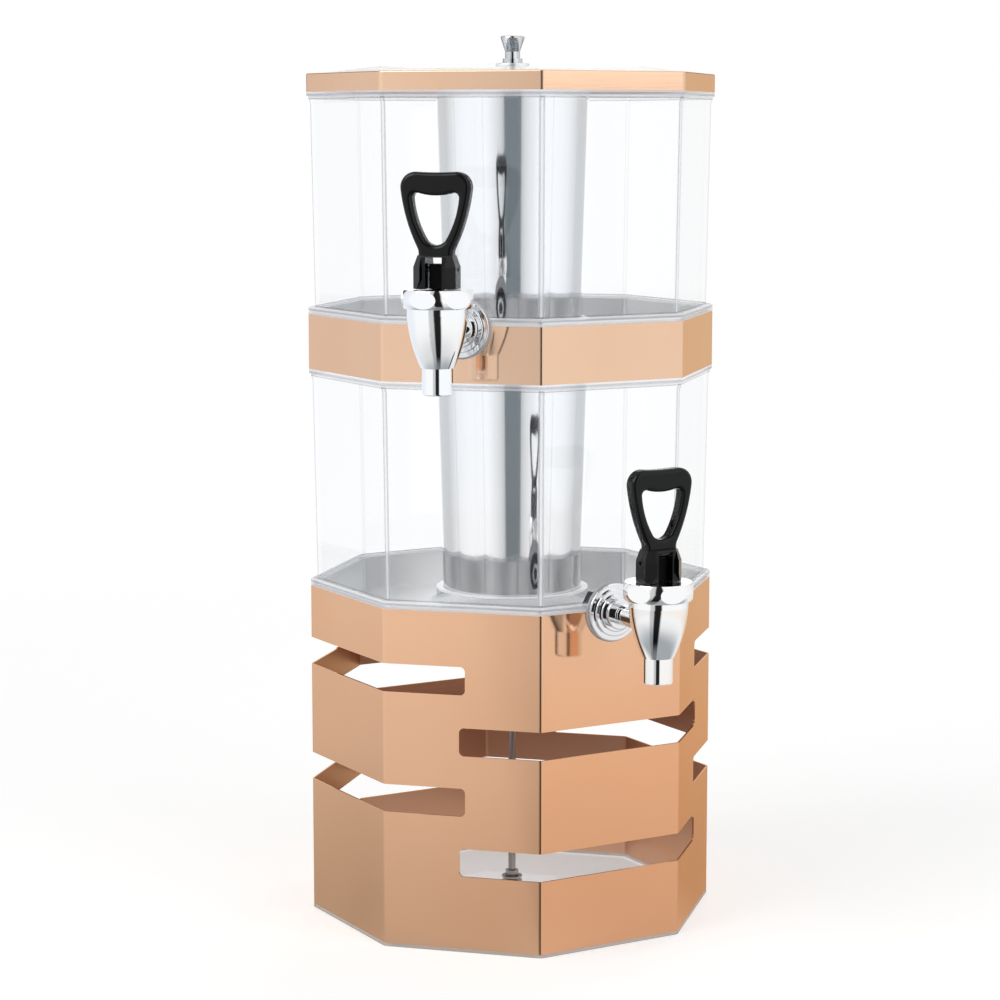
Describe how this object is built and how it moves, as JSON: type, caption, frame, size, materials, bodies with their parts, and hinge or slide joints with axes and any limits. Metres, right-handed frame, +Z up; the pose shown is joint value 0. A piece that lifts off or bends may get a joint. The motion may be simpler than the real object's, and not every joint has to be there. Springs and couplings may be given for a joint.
{
  "type": "two-tier beverage dispenser",
  "caption": "Octagonal two-tier beverage dispenser: clear stacked tubs with ice tubes, copper-coloured slotted base, bands and lid, and a self-closing lever faucet on each tier.",
  "frame": {"origin": "on the vertical axis of the octagon, at the table", "axes": "+Z up; -Y out of the face that carries the upper faucet; the lower faucet's face looks halfway between +X and -Y"},
  "size_m": [0.2769, 0.3299, 0.5898],
  "materials": {
    "clear_plastic": "clear",
    "copper_sheet": "rose-copper coated, satin",
    "steel": "satin",
    "polished_steel": "polished",
    "chrome": "polished",
    "black_plastic": "glossy",
    "rubber": "matte"
  },
  "bodies": {
    "base": {"base_tray": "clear_plastic", "base_sleeve": "copper_sheet", "sleeve_trim": "clear_plastic", "lower_pan": "steel", "tie_rod": "steel", "rod_collar": "steel", "rod_nuts": "steel", "rod_washers": "steel", "lower_tub": "clear_plastic", "lower_faucet_body": "chrome", "lower_faucet_bonnet": "chrome", "lower_faucet_bonnet_seal": "rubber", "lower_faucet_outer_washer": "rubber", "lower_faucet_escutcheon": "chrome", "lower_faucet_collar_nut": "chrome", "lower_faucet_inner_washer": "rubber", "lower_faucet_lock_nut": "black_plastic", "lower_faucet_spring": "steel"},
    "lower_stem": {"lower_faucet_stem": "black_plastic", "lower_faucet_seat_plug": "rubber", "lower_faucet_handle_pin": "steel"},
    "lower_handle": {"lower_faucet_handle": "black_plastic"},
    "lower_tube": {"lower_ice_tube": "polished_steel"},
    "upper_tier": {"mid_band": "copper_sheet", "band_trim": "clear_plastic", "upper_pan": "steel", "upper_tub": "clear_plastic", "upper_faucet_body": "chrome", "upper_faucet_bonnet": "chrome", "upper_faucet_bonnet_seal": "rubber", "upper_faucet_outer_washer": "rubber", "upper_faucet_escutcheon": "chrome", "upper_faucet_collar_nut": "chrome", "upper_faucet_inner_washer": "rubber", "upper_faucet_lock_nut": "black_plastic", "upper_faucet_spring": "steel"},
    "upper_stem": {"upper_faucet_stem": "black_plastic", "upper_faucet_seat_plug": "rubber", "upper_faucet_handle_pin": "steel"},
    "upper_handle": {"upper_faucet_handle": "black_plastic"},
    "upper_tube": {"upper_ice_tube": "polished_steel"},
    "lid": {"lid_band": "copper_sheet", "lid_panel": "clear_plastic", "lid_knob": "chrome", "knob_flange": "chrome", "knob_screw": "steel"}
  },
  "joints": [
    {"name": "lower_stem_lift", "type": "slide", "parent": "base", "child": "lower_stem", "axis": [0, 0, 1], "range_m": [0, 0.0044], "deforming": ["lower_faucet_spring"]},
    {"name": "lower_handle_tilt", "type": "hinge", "parent": "lower_stem", "child": "lower_handle", "pos_m": [0.1277, -0.1277, 0.2615], "axis": [0.7071, 0.7071, 0], "range_deg": [0, 35], "stiffness_Nm_per_rad": 0.6, "springref_deg": -20.05},
    {"name": "upper_stem_lift", "type": "slide", "parent": "upper_tier", "child": "upper_stem", "axis": [0, 0, 1], "range_m": [0, 0.0044], "deforming": ["upper_faucet_spring"]},
    {"name": "upper_handle_tilt", "type": "hinge", "parent": "upper_stem", "child": "upper_handle", "pos_m": [0, -0.1806, 0.4444], "axis": [1, 0, 0], "range_deg": [0, 35], "stiffness_Nm_per_rad": 0.6, "springref_deg": -20.05},
    {"name": "lower_tube_lift", "type": "slide", "parent": "base", "child": "lower_tube", "axis": [0, 0, 1], "range_m": [0, 0.16]},
    {"name": "upper_tier_lift", "type": "slide", "parent": "lower_tube", "child": "upper_tier", "axis": [0, 0, 1], "range_m": [0, 0.1]},
    {"name": "upper_tube_lift", "type": "slide", "parent": "upper_tier", "child": "upper_tube", "axis": [0, 0, 1], "range_m": [0, 0.16]},
    {"name": "lid_lift", "type": "slide", "parent": "upper_tube", "child": "lid", "axis": [0, 0, 1], "range_m": [0, 0.08]}
  ],
  "couplings": [
    {"joint": "lower_handle_tilt", "follows": "lower_stem_lift", "rad_per_m": 138},
    {"joint": "upper_handle_tilt", "follows": "upper_stem_lift", "rad_per_m": 138}
  ]
}
